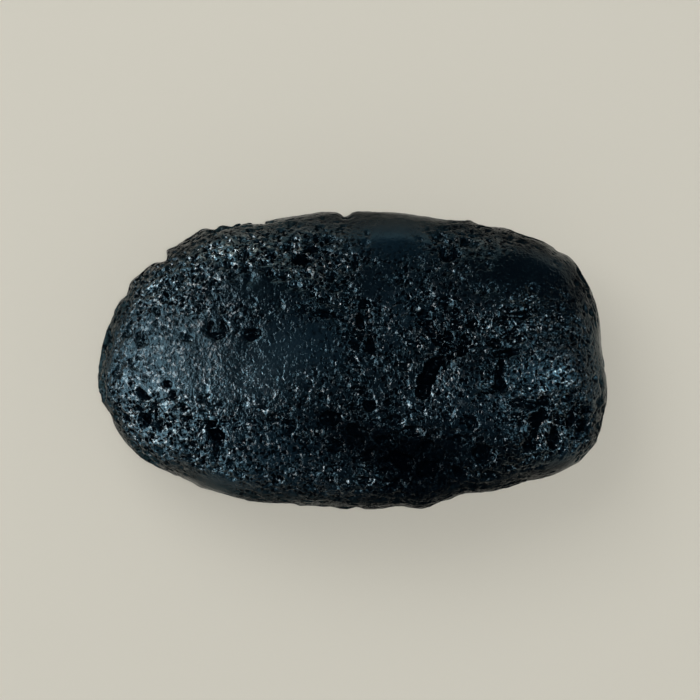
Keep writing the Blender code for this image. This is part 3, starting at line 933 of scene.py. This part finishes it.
class Glass(Nodes):
    """The nodes of the tektite's glass, from the parts of its look."""

    def __init__(self, tree):
        super().__init__(tree)
        self.bent = self.bent_place()
        self.pit = self.read("pit_depth")
        self.grain = self.read("grain")
        self.wall = self.read("wall")
        self.satin = self.read("satin")

    def micro_pits(self, size, depth):
        """Heights in mm of etched pits, each of a depth of its own."""
        distance, chance, _ = self.cells_of(size, self.bent)
        return self.product(self.mapped(distance, 0.0, CELL_SHARE, -depth, 0.0), chance)

    def height(self):
        """Height in mm of the etched skin, which is flatter where it is satin."""
        flatter = self.mapped(self.satin, 0.0, 1.0, 1.0, 0.6)
        coarse = self.product(self.micro_pits(*COARSE_PITS), flatter)
        flatter = self.mapped(self.satin, 0.0, 1.0, 1.0, 0.75)
        fine = self.product(self.micro_pits(*FINE_PITS), flatter)
        grit = self.product(self.noise_of(*GRIT_NOISE), GRIT_HEIGHT)
        return self.combined("ADD", self.combined("ADD", coarse, fine), grit)

    def normal(self, height):
        """The bumps show less on a smooth skin, in the large pits and on the walls."""
        bump = self.node("ShaderNodeBump")
        bump.inputs["Distance"].default_value = MM
        strength = self.product(
            self.mapped(self.grain, 0.0, 1.0, 0.12, 1.1),
            self.mapped(self.pit, 0.2, 1.0, 1.0, 0.5),
            self.mapped(self.wall, 0.0, 1.0, 1.0, 0.6),
        )
        self.link(strength, bump.inputs["Strength"])
        self.link(height, bump.inputs["Height"])
        return bump.outputs["Normal"]

    def filled(self):
        """Painted shade in the large pits, which dims their gloss and their lighter specks."""
        return self.product(
            self.pit, self.mapped(self.noise_of(*PIT_SHADE_NOISE), 0.35, 0.65, 1.2, 0.5)
        )

    def open_skin(self, height, filled):
        """1 on the open skin, and less where shade is painted into the micro-pits and the large
        pits.
        """
        hollow = self.product(
            self.mapped(height, -0.035, 0.06, 1.0, 0.0),
            self.mapped(self.grain, 0.0, 1.0, 0.15, 0.95),
            self.mapped(self.satin, 0.0, 1.0, 1.0, 0.5),
        )
        return self.product(
            self.mapped(filled, 0.3, 1.0, 1.0, 0.1), self.mapped(hollow, 0.0, 0.8, 1.0, 0.0)
        )

    def bare_skin(self, open_skin):
        """The open skin, dimmed where shade is painted: at its spots and on the walls."""
        # Painted shade comes in patches.
        patches = self.mapped(self.noise_of(*PAINTED_SHADE_NOISE), 0.35, 0.6, 0.75, 1.1)
        painted_shade = self.product(self.read("painted_shade"), patches)
        return self.product(
            open_skin,
            self.mapped(painted_shade, 0.0, 0.9, 1.0, 0.1),
            # painted shade on the walls: their reflection is dimmed
            self.mapped(self.wall, 0.0, 1.0, 1.0, 0.14),
        )

    def fresh_chips(self):
        """1 on the fresh chips, which the smooth skin doesn't have."""
        _, _, chance = self.cells_of(FRESH_SIZE, self.bent)
        return self.product(
            self.mapped(chance, 0.7, 0.85, 0.0, 1.0),
            self.mapped(self.grain, 0.3, 1.0, 0.0, 1.0),
            self.mapped(self.satin, 0.0, 1.0, 1.0, 0.7),
        )

    def roughness(self):
        """The skin is rougher where it is satin, and smoother inside the pits."""
        return self.product(
            self.mapped(self.satin, 0.0, 1.0, 0.2, 0.28),
            self.mapped(self.read("gloss"), 0.0, 1.0, 1.0, 0.6),
        )

    def color(self, filled, open_skin):
        """Black glass with specks of dust, more dust on the walls, and a painted sheen."""
        black = self.node("ShaderNodeValToRGB")
        darkest, lightest = black.color_ramp.elements
        darkest.position = 0.35
        darkest.color = DARKEST_GLASS
        lightest.position = 0.7
        lightest.color = LIGHTEST_GLASS
        self.link(self.noise_of(*BLACK_NOISE), black.inputs["Fac"])
        # No lighter specks where shade is painted into the large pits.
        specks = self.product(
            self.mapped(self.noise_of(*SPECK_NOISE), 0.55, 0.75, 0.0, 0.35),
            self.mapped(filled, 0.2, 0.6, 1.0, 0.0),
        )
        dust = self.mapped(self.noise_of(*DUST_NOISE), 0.3, 0.65, 0.0, 0.3)
        dust = self.combined("MAXIMUM", specks, self.product(self.wall, dust))
        body = self.blended(dust, black.outputs["Color"], DUST_COLOR)
        # Painted sheen: a lighter bluish colour that stands in for reflected light, kept out of
        # the pits.
        painted_sheen_color = self.blended(self.wall, PAINTED_SHEEN_COLOR, WALL_PAINTED_SHEEN_COLOR)
        painted_sheen = self.product(self.read("painted_sheen"), open_skin, PAINTED_SHEEN_COVER)
        return self.blended(painted_sheen, body, painted_sheen_color)


def glass_material():
    material = bpy.data.materials.new("tektite_glass")
    material.use_nodes = True
    shader = material.node_tree.nodes["Principled BSDF"]
    shader.inputs["Metallic"].default_value = 0.0
    shader.inputs["IOR"].default_value = GLASS_IOR
    glass = Glass(material.node_tree)
    height = glass.height()
    filled = glass.filled()
    open_skin = glass.open_skin(height, filled)
    fresh = glass.fresh_chips()
    shine = glass.product(
        glass.bare_skin(open_skin), glass.mapped(fresh, 0.0, 1.0, 0.53, 1.9), glass.read("sheen")
    )
    glass.link(glass.normal(height), shader.inputs["Normal"])
    glass.link(shine, shader.inputs["Specular IOR Level"])
    glass.link(glass.blended(fresh, ETCHED_TINT, FRESH_TINT), shader.inputs["Specular Tint"])
    glass.link(glass.roughness(), shader.inputs["Roughness"])
    glass.link(glass.color(filled, open_skin), shader.inputs["Base Color"])
    return material


# ---------------------------------------------------------------- studio

# The view looks straight down and is VIEW_STEPS wide and high. The stone is STONE_STEPS of
# these long, and its middle lies at STONE_MIDDLE, counted from the view's upper left corner.
VIEW_STEPS = 700
STONE_STEPS = 510
STONE_MIDDLE = (352, 360.5)
STEP = LENGTH / STONE_STEPS

# The camera's heights are above the floor. Its view is as wide as it should be at the level
# of the stone's widest outline.
CAMERA_HEIGHT = 610.0
STONE_LEVEL = 10.0
SENSOR = 36.0

FLOOR_RADIUS = 3.0
FLOOR_COLOR = (0.71, 0.695, 0.64, 1)
ROOM_COLOR = (0.22, 0.218, 0.2, 1)

# Soft panels that face the stone: azimuth from +X to +Y and elevation in degrees, distance and
# size in metres, radiance, and colour. Some are only mirrored in the glass, and the others
# only light the floor.
COOL = (0.76, 0.93, 1.0)
WARM = (1.0, 0.85, 0.8)
DAYLIGHT = (1.0, 0.98, 0.93)
Panel = namedtuple("Panel", "name azimuth elevation distance size glow color lights")
PANELS = [
    Panel("window_west", 198, 34, 1.3, (1.8, 0.6), 4.2, COOL, "glass"),
    Panel("lamp_west", 200, 40, 1.3, (0.2, 0.2), 42.0, WARM, "glass"),
    Panel("wall_west", 182, 9, 1.3, (2.0, 0.35), 11.0, COOL, "glass"),
    Panel("lamp_north", 150, 42, 1.3, (0.16, 0.16), 50.0, WARM, "glass"),
    Panel("window_east", -4, 40, 1.3, (0.5, 0.8), 5.3, COOL, "glass"),
    Panel("ceiling", 90, 88, 2.5, (2.4, 2.4), 0.09, (0.5, 0.76, 1.0), "glass"),
    Panel("panel_north_west", 148, 34, 1.5, (1.3, 0.8), 1.4, COOL, "glass"),
    Panel("wall_north", 105, 11, 1.6, (2.2, 0.6), 1.3, (0.85, 1, 0.95), "glass"),
    Panel("sky", 130, 58, 0.55, (0.33, 0.33), 1.9, DAYLIGHT, "floor"),
    Panel("overhead", 0, 89, 1.2, (0.06, 0.06), 600.0, DAYLIGHT, "floor"),
]


def add_floor():
    bpy.ops.mesh.primitive_circle_add(vertices=96, radius=FLOOR_RADIUS, fill_type="NGON")
    floor = bpy.context.object
    floor.name = "floor"
    material = bpy.data.materials.new("pale_floor")
    material.use_nodes = True
    shader = material.node_tree.nodes["Principled BSDF"]
    shader.inputs["Base Color"].default_value = FLOOR_COLOR
    shader.inputs["Specular IOR Level"].default_value = 0.0
    floor.data.materials.append(material)


def add_panel(panel):
    width, length = panel.size
    light = bpy.data.lights.new(panel.name, "AREA")
    light.shape = "RECTANGLE"
    light.size = width
    light.size_y = length
    light.energy = panel.glow * math.pi * width * length
    light.color = panel.color
    lamp = bpy.data.objects.new(panel.name, light)
    a, e = math.radians(panel.azimuth), math.radians(panel.elevation)
    away = Vector((math.cos(a) * math.cos(e), math.sin(a) * math.cos(e), math.sin(e)))
    lamp.location = away * panel.distance
    lamp.rotation_euler = away.to_track_quat("Z", "Y").to_euler()
    lamp.visible_camera = False
    lamp.visible_diffuse = panel.lights == "floor"
    lamp.visible_glossy = panel.lights == "glass"
    bpy.context.scene.collection.objects.link(lamp)


def add_room():
    world = bpy.data.worlds.new("room")
    world.use_nodes = True
    background = world.node_tree.nodes["Background"]
    background.inputs["Color"].default_value = ROOM_COLOR
    background.inputs["Strength"].default_value = 1.0
    world.cycles_visibility.glossy = False
    bpy.context.scene.world = world
    bpy.context.scene.view_settings.view_transform = "Standard"


def add_camera():
    camera = bpy.data.cameras.new("camera")
    camera.sensor_width = SENSOR
    camera.lens = SENSOR * (CAMERA_HEIGHT - STONE_LEVEL) / (VIEW_STEPS * STEP)
    camera.clip_start = 0.01
    camera.clip_end = 10.0
    right = (VIEW_STEPS / 2 - STONE_MIDDLE[0]) * STEP
    up = (STONE_MIDDLE[1] - VIEW_STEPS / 2) * STEP
    holder = bpy.data.objects.new("camera", camera)
    holder.location = (right * MM, up * MM, CAMERA_HEIGHT * MM)
    bpy.context.scene.collection.objects.link(holder)
    bpy.context.scene.camera = holder


add_camera()
for panel in PANELS:
    add_panel(panel)
add_room()
add_floor()
stone = thin_out(make_stone("tektite_stone"), "tektite_stone")
stone.data.materials.append(glass_material())
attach(stone, "root")
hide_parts("tektite")
